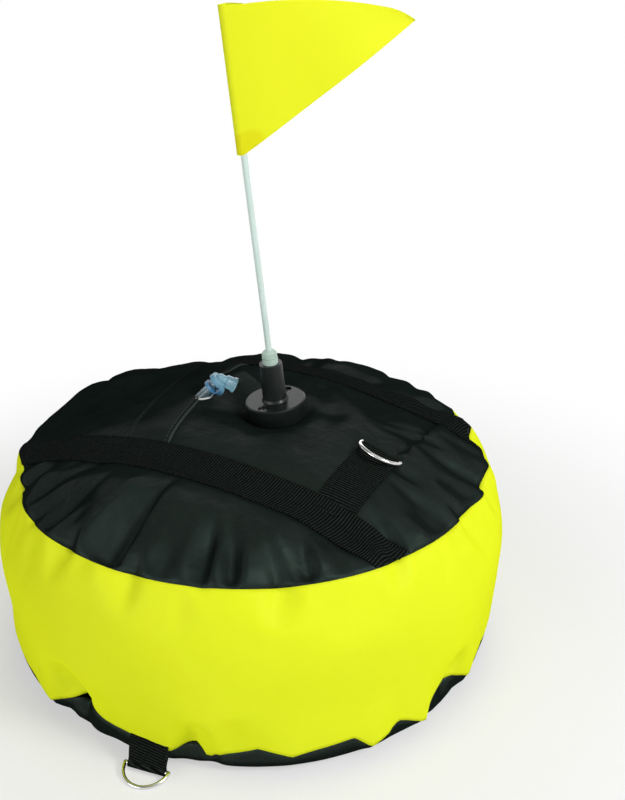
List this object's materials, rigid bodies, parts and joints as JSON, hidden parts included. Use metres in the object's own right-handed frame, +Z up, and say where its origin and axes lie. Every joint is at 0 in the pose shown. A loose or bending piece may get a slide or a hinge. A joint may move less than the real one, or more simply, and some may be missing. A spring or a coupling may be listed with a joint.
{
  "type": "inflatable marker buoy",
  "caption": "Inflatable drum-shaped marker buoy with a sewn cover, webbing straps, D-rings, inflation valve and a screw-in mast with a triangular pennant.",
  "frame": {"origin": "on the float's axis at the underside of the base", "axes": "+Z up, +X along the two webbing straps, +Y towards the rear strap"},
  "size_m": [0.3999, 0.413, 0.5015],
  "materials": {
    "bladder_film": "gloss",
    "cover_black": "matte",
    "cover_yellow": "satin",
    "webbing_black": "matte",
    "socket_plastic": "satin",
    "screw_steel": "satin",
    "valve_clear": "gloss",
    "valve_blue": "gloss",
    "ferrule_plastic": "satin",
    "rod_fibreglass": "satin",
    "pennant_yellow": "satin",
    "ring_nickel": "polished"
  },
  "bodies": {
    "float": {"air_bladder": "bladder_film", "top_panel": "cover_black", "side_band": "cover_yellow", "base_panel": "cover_black", "strap_front": "webbing_black", "strap_rear": "webbing_black", "closure_flap": "cover_black", "ring_tab_top": "webbing_black", "ring_tab_low": "webbing_black", "mast_socket": "socket_plastic", "socket_screws": "screw_steel", "valve_stem": "valve_clear", "valve_plug": "valve_blue"},
    "mast": {"mast_ferrule": "ferrule_plastic", "mast_rod": "rod_fibreglass"},
    "pennant": {"pennant": "pennant_yellow"},
    "ring_top": {"ring_top": "ring_nickel"},
    "ring_low": {"ring_low": "ring_nickel"}
  },
  "joints": [
    {"name": "mast_lift", "type": "slide", "parent": "float", "child": "mast", "axis": [-0.0877, -0.0569, 0.9945], "range_m": [0, 0.035]},
    {"name": "pennant_swing", "type": "hinge", "parent": "mast", "child": "pennant", "pos_m": [0.0175, 0.0105, 0.19245], "axis": [-0.0877, -0.0569, 0.9945], "continuous": true},
    {"name": "ring_top_swing", "type": "hinge", "parent": "float", "child": "ring_top", "pos_m": [0.11184, 0.00353, 0.18771], "axis": [-0.9566, 0, 0.2913], "range_deg": [0, 140]},
    {"name": "ring_low_swing", "type": "hinge", "parent": "float", "child": "ring_low", "pos_m": [0.0326, -0.19479, 0.0045], "axis": [-0.9863, -0.165, 0], "range_deg": [-80, 80]}
  ]
}
